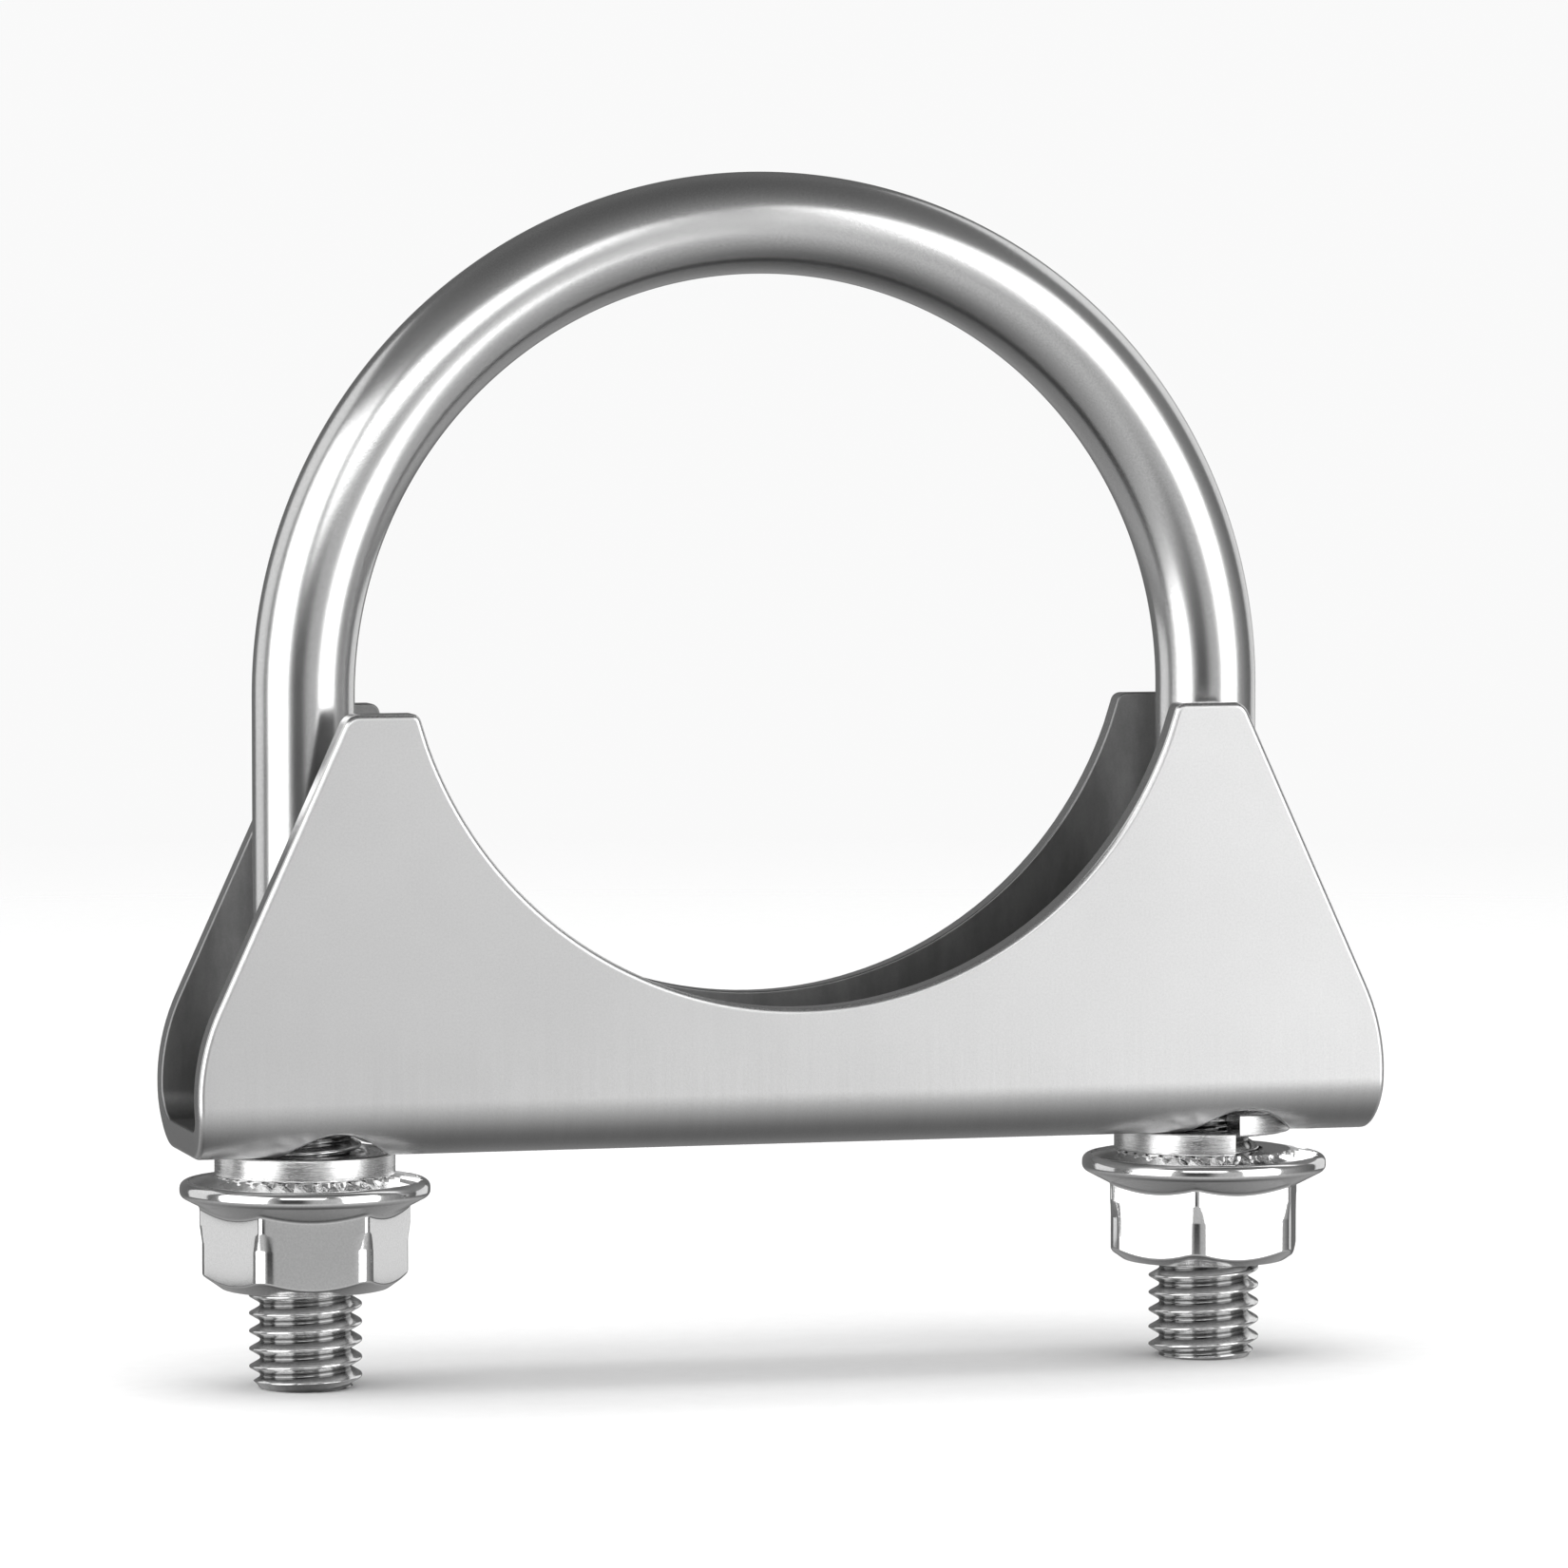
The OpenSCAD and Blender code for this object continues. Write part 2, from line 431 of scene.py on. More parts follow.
def fold_rows():
    """Values of s across one bend."""
    return [FLOOR_HALF + BEND_MID * pi / 2 * i / FOLD_STEPS for i in range(FOLD_STEPS + 1)]


def blank_outline():
    """Closed outline of the blank, anticlockwise."""
    side = side_outline()

    def end_x(z):
        for p, q in zip(side, side[1:]):
            if p.y <= z <= q.y:
                return p.x + (q.x - p.x) * (z - p.y) / (q.y - p.y)
        return side[0].x

    quarter = []
    for s in [FLOOR_HALF * i / 4 for i in range(4)] + fold_rows():
        quarter.append(Vector((end_x(fold(s)[0].z), s)))
    for p in side:
        if p.y > CHEEK_Z + 0.2 * MM:
            quarter.append(Vector((p.x, CHEEK_S + p.y - CHEEK_Z)))
        if p.x < 1e-9:
            break
    upper = quarter + [Vector((-p.x, p.y)) for p in reversed(quarter[:-1])]
    lower = [Vector((p.x, -p.y)) for p in reversed(upper[1:-1])]
    return upper + lower


def hole_outline(cx):
    """Leg hole in the blank, opened into both bends by notches, anticlockwise."""
    meet_s = (HOLE_R ** 2 - NOTCH_R ** 2 + NOTCH_S ** 2) / (2 * NOTCH_S)
    meet_x = sqrt(max(HOLE_R ** 2 - meet_s ** 2, 0.0))
    hole_a = atan2(meet_s, meet_x)
    notch_a = atan2(meet_s - NOTCH_S, meet_x)
    pts = []
    for i in range(HOLE_STEPS):
        a = -hole_a + 2 * hole_a * i / HOLE_STEPS
        pts.append(Vector((HOLE_R * cos(a), HOLE_R * sin(a))))
    for i in range(NOTCH_STEPS):
        a = notch_a + (pi - 2 * notch_a) * i / NOTCH_STEPS
        pts.append(Vector((NOTCH_R * cos(a), NOTCH_S + NOTCH_R * sin(a))))
    pts += [Vector((-p.x, -p.y)) for p in pts]
    return [Vector((cx + p.x, p.y)) for p in pts]


def off_metal(loop, sign):
    """Unit directions in the blank's plane that point off the metal.

    loop is anticlockwise; sign is 1 for the blank's outline and -1 for a hole in it.
    """
    out = []
    for i, p in enumerate(loop):
        along = (loop[(i + 1) % len(loop)] - p).normalized() + (p - loop[i - 1]).normalized()
        along.normalize()
        out.append(Vector((along.y, -along.x)) * sign)
    return out


def inside(p, loop):
    """Whether p is inside a closed outline."""
    hit = False
    for i in range(len(loop)):
        a, b = loop[i], loop[i - 1]
        if (a.y > p.y) != (b.y > p.y) and p.x < (b.x - a.x) * (p.y - a.y) / (b.y - a.y) + a.x:
            hit = not hit
    return hit


def on_metal(p, loops):
    """Whether p is inside the first outline and outside the holes that follow it."""
    return inside(p, loops[0]) and not any(inside(p, hole) for hole in loops[1:])


def clear_of(p, loops, gap):
    """Whether p is further than gap from every point of the outlines."""
    return all((p - q).length > gap for loop in loops for q in loop)


def edge_section():
    """Section of a cut edge, from the outer face to the inner one.

    Each step is its inset from the outline, its offset from mid-sheet and its normal's angle.
    """
    section = []
    for i in range(ROLL_STEPS + 1):
        a = pi / 2 * i / ROLL_STEPS
        section.append((ROLL_R * (1 - sin(a)), SHEET / 2 - ROLL_R * (1 - cos(a)), a))
    for i in range(BURR_STEPS + 1):
        a = pi / 2 * i / BURR_STEPS
        section.append((BURR_R * (1 - cos(a)), -SHEET / 2 + BURR_R * (1 - sin(a)), pi / 2 + a))
    return section


def face_points(loops):
    """Points spread over a face of the blank, clear of its edges."""
    rows = [0.0, 2 * MM] + fold_rows()
    s = CHEEK_S + GRID_S
    while s < CHEEK_S + HORN_Z - CHEEK_Z:
        rows.append(s)
        s += GRID_S
    rows = sorted(set([-r for r in rows] + rows))
    columns = [-HALF_LEN + GRID_X * i for i in range(int(2 * HALF_LEN / GRID_X) + 1)]
    grid = [Vector((x, s)) for s in rows for x in columns]
    return [p for p in grid if on_metal(p, loops) and clear_of(p, loops, EDGE_GAP)]


class FoldedSheet:
    """Collects the saddle's mesh from places on the blank."""

    def __init__(self):
        self.verts, self.normals, self.faces = [], [], []
        self.worn, self.inner_face = [], []

    def place(self, p, offset, out, angle):
        """Adds a vertex; its normal leans from the sheet's own towards out by the angle."""
        mid, normal, along = fold(p.y)
        edge = out.x * Vector((1, 0, 0)) + out.y * along
        self.verts.append(Vector((p.x, 0, 0)) + mid + normal * offset)
        self.normals.append((normal * cos(angle) + edge * sin(angle)).normalized())
        self.worn.append(abs(sin(angle)))
        self.inner_face.append(1.0 if angle > radians(100) else 0.0)

    def add_edge(self, loop, outs, section):
        """A cut edge along an outline. Returns where its first and last rings start."""
        starts = []
        for inset, offset, angle in section:
            starts.append(len(self.verts))
            for p, out in zip(loop, outs):
                self.place(p - out * inset, offset, out, angle)
        for a, b in zip(starts, starts[1:]):
            self.faces += ring_faces(a, b, len(loop))
        return starts[0], starts[-1]

    def add_face(self, rims, offset, angle):
        """Triangles over a face; rims are the edges' rings as (first vertex, outline)."""
        flat, index, edges = [], [], []
        for start, loop in rims:
            base, n = len(flat), len(loop)
            flat += loop
            index += [start + i for i in range(n)]
            edges += [(base + i, base + (i + 1) % n) for i in range(n)]
        loops = [loop for _, loop in rims]
        for p in face_points(loops):
            flat.append(p)
            index.append(len(self.verts))
            self.place(p, offset, Vector((1, 0)), angle)
            self.worn[-1] = 0.0
        # triangulated in millimetres, then traced back to the points that went in
        spots, _, triangles, origin = delaunay_2d_cdt([p / MM for p in flat], edges, [], 0, 1e-5)[:4]
        for triangle in triangles:
            centre = sum((spots[i] for i in triangle), Vector((0, 0))) / 3 * MM
            if on_metal(centre, loops):
                self.faces.append(tuple(index[origin[i][0]] for i in triangle))


def build_saddle(materials):
    """The folded sheet, with a hole for each leg."""
    sheet = FoldedSheet()
    section = edge_section()
    outer_rims, inner_rims = [], []
    for loop, sign in ((blank_outline(), 1), (hole_outline(-LEG_X), -1), (hole_outline(LEG_X), -1)):
        outs = off_metal(loop, sign)
        outer, inner = sheet.add_edge(loop, outs, section)
        outer_rims.append((outer, [p - out * ROLL_R for p, out in zip(loop, outs)]))
        inner_rims.append((inner, [p - out * BURR_R for p, out in zip(loop, outs)]))
    sheet.add_face(outer_rims, SHEET / 2, 0.0)
    sheet.add_face(inner_rims, -SHEET / 2, pi)
    return make_object("folded_saddle", sheet.verts, sheet.faces, materials, normals=sheet.normals,
                       marks={"worn": sheet.worn, "inner_face": sheet.inner_face})


# ---- lock washers ----

WASHER_BORE = 4.2 * MM
WASHER_CORNER = 0.16 * MM
WASHER_STEPS = 170
RAISED_BY = 1.35 * MM         # how far the right washer's end stands up
RAISED_FOR = 72.0             # degrees round the ring that it stays up
RAISED_FALL = 78.0            # degrees over which the ring then comes down


def flat_lift(turn):
    """A tightened ring lies flat."""
    return 0.0


def raised_lift(turn):
    """The ring's first end stands up into the saddle's notch and hole, and falls behind the leg."""
    return RAISED_BY * (1 - ease((turn - RAISED_FOR) / RAISED_FALL))


def build_washer(name, centre_x, split, gap, lift, materials):
    """A ring split at that angle; lift(degrees from its first end) is how far it springs up."""
    half = WASHER_T / 2
    mid = (WASHER_BORE + WASHER_R) / 2
    section = rounded([
        (mid, -half, 0),
        (WASHER_R, -half, WASHER_CORNER),
        (WASHER_R, half, WASHER_CORNER),
        (WASHER_BORE, half, WASHER_CORNER),
        (WASHER_BORE, -half, WASHER_CORNER),
        (mid, -half, 0),
    ], 4)[:-1]
    n = len(section)
    verts, faces = [], []
    for k in range(WASHER_STEPS + 1):
        turn = (360 - gap) * k / WASHER_STEPS
        slope = (lift(turn + 0.5) - lift(turn - 0.5)) / (mid * radians(1.0))
        for p in section:
            # the section stays square to the ring as it climbs
            a = radians(split + gap / 2 + turn) - slope * p.y / mid
            z = WASHER_TOP - half + p.y + lift(turn)
            verts.append((centre_x + p.x * cos(a), p.x * sin(a), z))
    for k in range(WASHER_STEPS):
        faces += ring_faces(k * n, (k + 1) * n, n)
    faces.append(tuple(range(n)))
    faces.append(tuple(WASHER_STEPS * n + j for j in reversed(range(n))))
    return make_object(name, verts, faces, materials, weld=1e-8, sharp=40)


# ---- flange nuts ----

NUT_COLUMNS = 384
BORE_COLUMNS = NUT_COLUMNS // 4
FLAT_R = 6.5 * MM
LOW_CORNER_R = 1.7 * MM       # corners of the hexagon, below its waist
HIGH_CORNER_R = 0.5 * MM      # and above it
WAIST = (0.48, 0.74)          # where one runs into the other, as shares of the hexagon's height
CHAMFER_R = 5.85 * MM
CHAMFER_SLOPE = 0.7
FLANGE_Z = NUT_H - 1.45 * MM  # lower edge of the flange's rim
CONE_SLOPE = 1.2 * MM / (FLANGE_R - FLAT_R)
FACE_IN_R = 4.75 * MM         # inner edge of both faces, where the bore's mouths begin
CROWN = 0.4 * MM              # fall of the toothed face from the washer out to the rim
TEETH = 32
TOOTH = 0.42 * MM
TOOTH_OUT_R = 8.35 * MM
TOOTH_IN_R = 6.2 * MM
# The toothed face, from the rim inwards: radius, share of the teeth's depth
TOOTH_RINGS = [(TOOTH_OUT_R - 0.05 * MM, 1.0), (TOOTH_OUT_R - 0.8 * MM, 1.0), (7.0 * MM, 1.0),
               (TOOTH_IN_R + 0.15 * MM, 0.8), (TOOTH_IN_R, 0.0), (FACE_IN_R, 0.0)]
MOUTH_R = 4.3 * MM
BORE_GAP = 0.06 * MM


def hex_radius(a, corner):
    """Outline of the hexagon at angle a, its corners rounded to that radius."""
    off = a % (pi / 3) - pi / 6
    flat = FLAT_R / cos(off)
    delta = pi / 6 - abs(off)
    centre = (FLAT_R - corner) / cos(pi / 6)
    tangent = pi / 6 - atan2((FLAT_R - corner) * tan(pi / 6), FLAT_R)
    if centre * sin(delta) < corner and delta < tangent:
        return min(flat, centre * cos(delta) + sqrt(corner ** 2 - (centre * sin(delta)) ** 2))
    return flat


def nut_profile(a):
    """Section of a nut at angle a of its hexagon, in (radius, height), from its foot to its teeth."""
    low_r = hex_radius(a, LOW_CORNER_R)
    high_r = hex_radius(a, HIGH_CORNER_R)
    chamfer_z = (low_r - CHAMFER_R) * CHAMFER_SLOPE
    meet_z = FLANGE_Z - (FLANGE_R - high_r) * CONE_SLOPE
    waist_low, waist_high = (chamfer_z + (meet_z - chamfer_z) * share for share in WAIST)
    return rounded([
        (FACE_IN_R, 0, 0),
        (CHAMFER_R, 0, 0.35 * MM),
        (low_r, chamfer_z, 0.3 * MM),
        (low_r, waist_low, 1.2 * MM),
        (high_r, waist_high, 1.2 * MM),
        (high_r, meet_z, 0.4 * MM),
        (FLANGE_R, FLANGE_Z, 0.52 * MM),
        (FLANGE_R, NUT_H - CROWN, 0.52 * MM),
        (TOOTH_OUT_R - 0.2 * MM, NUT_H - CROWN, 0),
    ], 5)


def build_nut(name, centre_x, turn, phase, materials):
    """A flange nut turned by that angle, its thread advanced by phase of a turn."""
    n = NUT_COLUMNS
    foot_z = NUT_TOP - NUT_H
    verts, faces = [], []

    def put(r, a, z):
        verts.append((centre_x + r * cos(a), r * sin(a), foot_z + z))

    columns = [nut_profile(a) for a in circle(n)]
    rows = len(columns[0])
    for i in range(rows):
        for a, column in zip(circle(n), columns):
            put(column[i].x, a + turn, column[i].y)
    # the bearing face with its ring of ratchet teeth
    per_tooth = n // TEETH
    for r, depth in TOOTH_RINGS:
        fall = CROWN * max(0.0, (r - TOOTH_IN_R) / (TOOTH_OUT_R - TOOTH_IN_R))
        for j, a in enumerate(circle(n)):
            step = (j % per_tooth) / (per_tooth - 1)
            put(r, a + turn, NUT_H - fall - TOOTH * depth * step)
    rows += len(TOOTH_RINGS)
    for i in range(rows - 1):
        faces += ring_faces(i * n, (i + 1) * n, n)
    # mouths: from the bore's coarser ring out to the faces
    bore_angles = [a + turn for a in circle(BORE_COLUMNS)]
    for z, row in ((0.0, 0), (NUT_H, rows - 1)):
        start = len(verts)
        for a in bore_angles:
            put(MOUTH_R, a, z)
        for j in range(BORE_COLUMNS):
            for k in range(4):
                faces.append((start + j, row * n + (4 * j + k) % n, row * n + (4 * j + k + 1) % n))
            faces.append((start + j, row * n + (4 * j + 4) % n, start + (j + 1) % BORE_COLUMNS))

    def bore_radius(h, z):
        """Radius of the nut's thread, opened out towards both mouths."""
        return max(ROOT_R + THREAD_DEPTH * h + BORE_GAP, MOUTH_R - min(z - foot_z, NUT_TOP - z))

    grid, quads, _ = helix_grid(centre_x, foot_z, NUT_TOP, phase, bore_angles, bore_radius)
    first = len(verts)
    verts += grid
    faces += [tuple(first + q for q in reversed(quad)) for quad in quads]
    return make_object(name, verts, faces, materials, weld=1e-8, sharp=34)


def nut_phase(side):
    """Phase that puts a nut's thread on its leg's, so that they stay in mesh as the nut turns."""
    leg_base = TIP_Z - PITCH * (1 + THREAD_PHASE[side])
    return ((NUT_TOP - NUT_H - leg_base) / PITCH - 1) % 1


# ---- materials ----

class Nodes:
    """A node tree with small helpers."""

    def __init__(self, tree):
        self.tree = tree

    def node(self, kind, **values):
        made = self.tree.nodes.new(kind)
        for key, value in values.items():
            setattr(made, key, value)
        return made

    def link(self, a, b):
        self.tree.links.new(a, b)

    def math(self, operation, *values):
        made = self.node("ShaderNodeMath", operation=operation)
        for socket, value in zip(made.inputs, values):
            if isinstance(value, (int, float)):
                socket.default_value = value
            else:
                self.link(value, socket)
        return made.outputs["Value"]

    def spread(self, value, low, high, to_low, to_high, **settings):
        """value from low..high mapped to to_low..to_high, held inside it."""
        made = self.node("ShaderNodeMapRange", **settings)
        self.link(value, made.inputs["Value"])
        limits = (("From Min", low), ("From Max", high), ("To Min", to_low), ("To Max", to_high))
        for key, number in limits:
            made.inputs[key].default_value = number
        return made.outputs["Result"]

    def table(self, value, low, high, stops):
        """value, between low and high, looked up in a straight-line table of (value, grey) stops."""
        ramp = self.node("ShaderNodeValToRGB")
        elements = ramp.color_ramp.elements
        while len(elements) < len(stops):
            elements.new(1.0)
        for element, (level, _) in zip(elements, stops):
            element.position = (level - low) / (high - low)
        for element, (_, grey) in zip(elements, stops):
            element.color = (grey, grey, grey, 1)
        self.link(self.spread(value, low, high, 0.0, 1.0), ramp.inputs["Fac"])
        return ramp.outputs["Color"]


class Shader(Nodes):
    """A material with a principled surface; its patterns are sized in millimetres."""

    def __init__(self, name):
        self.material = bpy.data.materials.new(name)
        self.material.use_nodes = True
        super().__init__(self.material.node_tree)
        self.surface = self.tree.nodes["Principled BSDF"]
        self.coords = self.node("ShaderNodeTexCoord").outputs["Object"]

    def noise(self, scale, stretch=(1, 1, 1), detail=3.0, roughness=0.55):
        """Noise with scale times stretch cells to a millimetre along X, Y and Z."""
        mapping = self.node("ShaderNodeMapping")
        mapping.inputs["Scale"].default_value = [k / MM for k in stretch]
        self.link(self.coords, mapping.inputs["Vector"])
        made = self.node("ShaderNodeTexNoise")
        made.inputs["Scale"].default_value = scale
        made.inputs["Detail"].default_value = detail
        made.inputs["Roughness"].default_value = roughness
        self.link(mapping.outputs["Vector"], made.inputs["Vector"])
        return made.outputs["Fac"]

    def mark(self, name):
        """A value stored on the mesh's vertices."""
        return self.node("ShaderNodeAttribute", attribute_name=name).outputs["Fac"]

    def grey(self, value):
        made = self.node("ShaderNodeCombineColor")
        for socket in made.inputs:
            self.link(value, socket)
        return made.outputs["Color"]

    def bump(self, height, distance, after=None):
        made = self.node("ShaderNodeBump")
        made.inputs["Strength"].default_value = 1.0
        made.inputs["Distance"].default_value = distance
        self.link(height, made.inputs["Height"])
        if after:
            self.link(after, made.inputs["Normal"])
        return made.outputs["Normal"]

    def metal(self, shade, roughness, normal):
        """Finishes a bare metal and returns its material."""
        self.surface.inputs["Metallic"].default_value = 1.0
        self.link(self.grey(shade), self.surface.inputs["Base Color"])
        self.link(roughness, self.surface.inputs["Roughness"])
        self.link(normal, self.surface.inputs["Normal"])
        return self.material


def bar_steel():
    """Satin bright bar: fine speckle over a soft mottle."""
    s = Shader("bar_steel")
    speck = s.noise(8.0, detail=4.0, roughness=0.7)
    mottle = s.noise(0.12, detail=2.0)
    lighter = s.spread(mottle, 0.3, 0.7, -0.015, 0.015)
    shade = s.math("ADD", s.spread(speck, 0.3, 0.7, 0.72, 0.86), lighter)
    duller = s.spread(mottle, 0.3, 0.7, -0.01, 0.01)
    rough = s.math("ADD", s.spread(speck, 0.3, 0.7, 0.24, 0.19), duller)
    return s.metal(shade, rough, s.bump(speck, 0.003 * MM))


def thread_steel():
    """Rolled thread: lighter crests, roots darkened with painted shade, and fine lines along the helix.
    """
    s = Shader("thread_steel")
    lines = s.noise(2.0, stretch=(0.3, 0.3, 6))
    speck = s.noise(3.0)
    # painted shade: the base colour is cut to about a third at the thread's roots, rising to full
    # towards the crests
    depth = s.spread(s.mark("crest"), 0.05, 0.6, 0.34, 1.0)
    shade = s.math("MULTIPLY", s.spread(speck, 0.3, 0.7, 0.8, 0.95), depth)
    rough = s.spread(lines, 0.3, 0.7, 0.1, 0.18)
    return s.metal(shade, rough, s.bump(lines, 0.006 * MM))


def sheet_steel():
    """Satin sheet: fine grain, draw marks by the bends, burnished edges, and inner faces darkened with
    painted shade.
    """
    s = Shader("sheet_steel")
    grain = s.noise(6.0, detail=4.0, roughness=0.75)
    cloud = s.noise(0.08)
    draw = s.noise(1.0, stretch=(2.0, 0.3, 0.12), detail=2.0)
    inner_shade_streaks = s.noise(1.0, stretch=(0.5, 0.5, 0.16), detail=4.0, roughness=0.65)
    edge = s.mark("worn")
    inner = s.mark("inner_face")
    place = s.node("ShaderNodeSeparateXYZ")
    s.link(s.coords, place.inputs["Vector"])
    near_bend = s.spread(place.outputs["Z"], FOOT_Z + 14 * MM, FOOT_Z + 3 * MM, 0.0, 1.0)
    marks = s.math("MULTIPLY", s.spread(draw, 0.35, 0.65, -0.5, 0.5), near_bend)

    shade = s.math("ADD", s.spread(grain, 0.3, 0.7, 0.73, 0.81), s.spread(cloud, 0.3, 0.7, -0.02, 0.02))
    shade = s.math("ADD", shade, s.math("MULTIPLY", marks, 0.012))
    shade = s.math("ADD", shade, s.math("MULTIPLY", edge, 0.06))
    # painted shade: the inner faces of the channel are darkened to about a third, in streaks running
    # along Z
    dark = s.math("MULTIPLY", inner, s.spread(inner_shade_streaks, 0.35, 0.65, 0.6, 0.69))
    shade = s.math("MULTIPLY", shade, s.math("SUBTRACT", 1.0, dark))

    rough = s.math("ADD", s.spread(grain, 0.3, 0.7, 0.42, 0.34), s.math("MULTIPLY", marks, 0.015))
    rough = s.math("SUBTRACT", rough, s.math("MULTIPLY", edge, 0.16))
    rough = s.math("ADD", rough, s.math("MULTIPLY", inner, 0.08))
    normal = s.bump(marks, 0.0015 * MM, after=s.bump(grain, 0.004 * MM))
    return s.metal(shade, rough, normal)


def spring_steel():
    """Brushed washer steel: lines running round the ring."""
    s = Shader("spring_steel")
    lines = s.noise(1.5, stretch=(0.35, 0.35, 9), detail=4.0, roughness=0.7)
    speck = s.noise(2.5)
    shade = s.math("ADD", s.spread(lines, 0.3, 0.7, 0.7, 0.9), s.spread(speck, 0.3, 0.7, -0.05, 0.05))
    rough = s.spread(lines, 0.3, 0.7, 0.17, 0.3)
    return s.metal(shade, rough, s.bump(lines, 0.015 * MM))


def chromed_steel():
    """Plated nut: near mirror, with the faint waves and pits of a forged blank under it."""
    s = Shader("chromed_steel")
    wave = s.noise(0.5, detail=2.0)
    pits = s.noise(7.0)
    shade = s.spread(pits, 0.3, 0.7, 0.8, 0.9)
    rough = s.spread(pits, 0.3, 0.75, 0.09, 0.14)
    return s.metal(shade, rough, s.bump(pits, 0.0004 * MM, after=s.bump(wave, 0.003 * MM)))


# ---- the clamp ----

# The right washer lies to the left in its play, which makes room for its raised end
WASHER_PLAY = 0.15 * MM

bar = bar_steel()
thread = thread_steel()
plate = sheet_steel()
spring = spring_steel()
chrome = chromed_steel()

bolt = build_bolt([bar, thread])
saddle = build_saddle([plate])
left_washer = build_washer("left_split_washer", -LEG_X, 75.0, 8.0, flat_lift, [spring])
right_washer = build_washer("right_split_washer", LEG_X - WASHER_PLAY, -84.0, 3.0, raised_lift,
                            [spring])
left_nut = build_nut("left_serrated_nut", -LEG_X, radians(-6), nut_phase("left"), [chrome])
right_nut = build_nut("right_serrated_nut", LEG_X, radians(8), nut_phase("right"), [chrome])

for piece, node, body, slot in (
        (bolt, "u_bolt", "bolt", "bolt_steel"),
        (saddle, "saddle", "saddle", "saddle_steel"),
        (left_washer, "left_lock_washer", "saddle", "washer_steel"),
        (right_washer, "right_lock_washer", "saddle", "washer_steel"),
        (left_nut, "left_flange_nut", "left_nut", "nut_steel"),
        (right_nut, "right_flange_nut", "right_nut", "nut_steel")):
    if piece is not saddle:
        piece.data.transform(Matrix.Translation((LEGS_MID, 0, 0)))
    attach(piece, body)
    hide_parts(node)


# ---- floor ----

FLOOR_RINGS = [0.05, 0.1, 0.2, 0.4, 0.6]
FLOOR_SIDES = 64
FLOOR_FADE = (0.2, 0.55)      # radii between which the paper fades out


def floor_paper():
    """Matt pale paper that fades out towards its rim."""
    s = Shader("floor_paper")
    fibre = s.noise(0.6, detail=4.0)
    s.link(s.grey(s.spread(fibre, 0.3, 0.7, 0.84, 0.86)), s.surface.inputs["Base Color"])
    s.surface.inputs["Roughness"].default_value = 0.9
    s.surface.inputs["Specular IOR Level"].default_value = 0.0
    s.link(s.bump(fibre, 0.02 * MM), s.surface.inputs["Normal"])
    far = s.node("ShaderNodeVectorMath", operation="LENGTH")
    s.link(s.coords, far.inputs[0])
    s.link(s.spread(far.outputs["Value"], *FLOOR_FADE, 1.0, 0.0), s.surface.inputs["Alpha"])
    return s.material


def build_floor():
    """A round sheet under the tips, in rings about its middle."""
    n = FLOOR_SIDES
    verts = [(0, 0, TIP_Z)]
    for r in FLOOR_RINGS:
        verts += [(r * cos(a), r * sin(a), TIP_Z) for a in circle(n)]
    faces = [(0, 1 + j, 1 + (j + 1) % n) for j in range(n)]
    for k in range(len(FLOOR_RINGS) - 1):
        faces += [tuple(reversed(face)) for face in ring_faces(1 + k * n, 1 + (k + 1) * n, n)]
    return make_object("floor", verts, faces, [floor_paper()], closed=False)


floor = build_floor()
floor.visible_glossy = False


# ---- light ----

# Name, azimuth, elevation, distance, width, height, watts, whether the metal mirrors it
SOFTBOXES = [
    ("left_softbox", -72, 10, 1.0, 0.95, 1.1, 5.3, True),
    ("right_softbox", 41, 10, 1.0, 0.72, 1.1, 4.0, True),
    ("front_softbox", -15, 22, 1.1, 0.8, 0.42, 1.7, True),
    ("back_left_softbox", -128, 15, 1.0, 0.6, 1.0, 1.25, True),
    ("back_right_softbox", 128, 15, 1.0, 0.6, 1.0, 1.25, True),
    ("floor_light", 0, 89, 1.5, 2.0, 2.0, 34, False),
]
# What the metal mirrors between the softboxes: sine of the elevation, brightness
ROOM = [(-1.0, 0.12), (-0.75, 0.36), (-0.4, 0.6), (-0.2, 0.5), (-0.1, 0.3), (0.0, 0.2), (0.3, 0.25),
        (0.7, 0.25), (1.0, 0.14)]
# and round the horizon: azimuth from the front towards +X in degrees, brightness
HORIZON = [(-180, 0.34), (-150, 0.25), (-118, 0.15), (-90, 0.4), (-45, 0.5), (-33, 0.06), (-14, 0.06),
           (-3, 0.42), (10, 0.48), (22, 0.55), (60, 0.5), (90, 0.25), (120, 0.12), (150, 0.25),
           (180, 0.34)]
HORIZON_BAND = (0.42, 0.12)   # sines of the elevations between which the horizon takes over
BACK_STRENGTH = 0.5           # strength of the room right behind the clamp, next to 1 in front
BACKDROP = (0.95, 0.95, 0.95, 1)


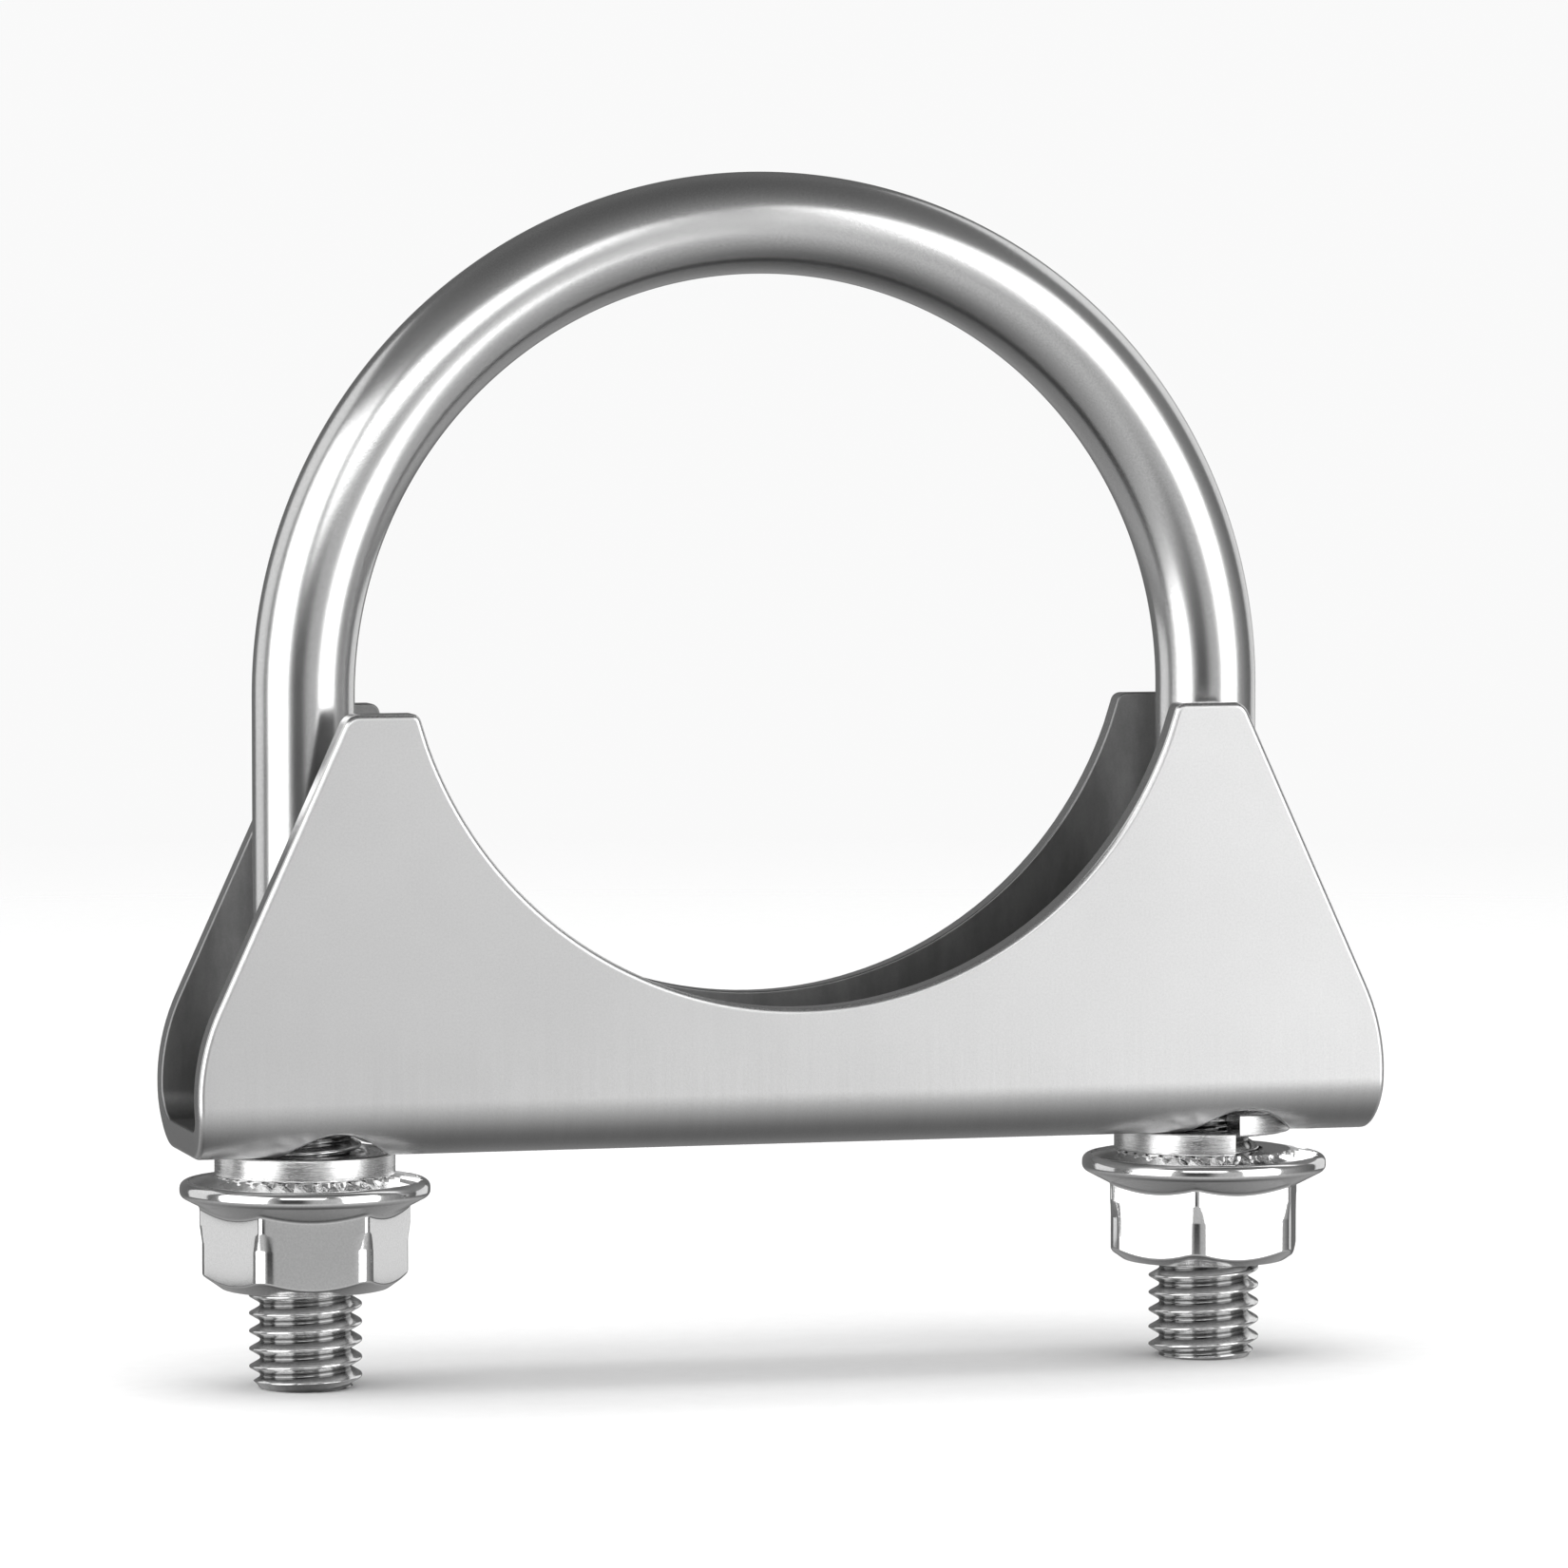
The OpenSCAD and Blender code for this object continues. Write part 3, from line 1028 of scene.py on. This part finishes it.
def build_softbox(name, azimuth, elevation, distance, width, height, watts, mirrored):
    """A soft area light that faces the clamp and isn't seen itself."""
    light = bpy.data.lights.new(name, "AREA")
    light.shape = "RECTANGLE"
    light.size = width
    light.size_y = height
    light.energy = watts
    holder = bpy.data.objects.new(name, light)
    bpy.context.scene.collection.objects.link(holder)
    away = direction(azimuth, elevation)
    holder.location = (cad_low + cad_high) / 2 + away * distance
    holder.rotation_mode = "QUATERNION"
    holder.rotation_quaternion = away.to_track_quat("Z", "Y")
    holder.visible_camera = False
    holder.visible_glossy = mirrored


def build_world():
    """A plain backdrop for the camera, and a room of greys for everything else."""
    world = bpy.data.worlds.new("studio")
    bpy.context.scene.world = world
    world.use_nodes = True
    world.node_tree.nodes.clear()
    w = Nodes(world.node_tree)
    ray = w.node("ShaderNodeSeparateXYZ")
    w.link(w.node("ShaderNodeTexCoord").outputs["Generated"], ray.inputs["Vector"])

    front = w.math("MULTIPLY", ray.outputs["Y"], -1.0)
    azimuth = w.math("MULTIPLY", w.math("ARCTAN2", ray.outputs["X"], front), 180 / pi)
    height = w.math("ABSOLUTE", ray.outputs["Z"])
    blend = w.node("ShaderNodeMixRGB")
    w.link(w.spread(height, *HORIZON_BAND, 0, 1, interpolation_type="SMOOTHSTEP"), blend.inputs["Fac"])
    w.link(w.table(ray.outputs["Z"], -1, 1, ROOM), blend.inputs["Color1"])
    w.link(w.table(azimuth, -180, 180, HORIZON), blend.inputs["Color2"])

    room = w.node("ShaderNodeBackground")
    w.link(blend.outputs["Color"], room.inputs["Color"])
    w.link(w.spread(ray.outputs["Y"], -1, 1, 1, BACK_STRENGTH), room.inputs["Strength"])
    backdrop = w.node("ShaderNodeBackground")
    backdrop.inputs["Color"].default_value = BACKDROP
    mix = w.node("ShaderNodeMixShader")
    w.link(w.node("ShaderNodeLightPath").outputs["Is Camera Ray"], mix.inputs["Fac"])
    w.link(room.outputs["Background"], mix.inputs[1])
    w.link(backdrop.outputs["Background"], mix.inputs[2])
    w.link(mix.outputs["Shader"], w.node("ShaderNodeOutputWorld").inputs["Surface"])


for softbox in SOFTBOXES:
    build_softbox(*softbox)
build_world()

bpy.context.scene.view_settings.view_transform = "Standard"
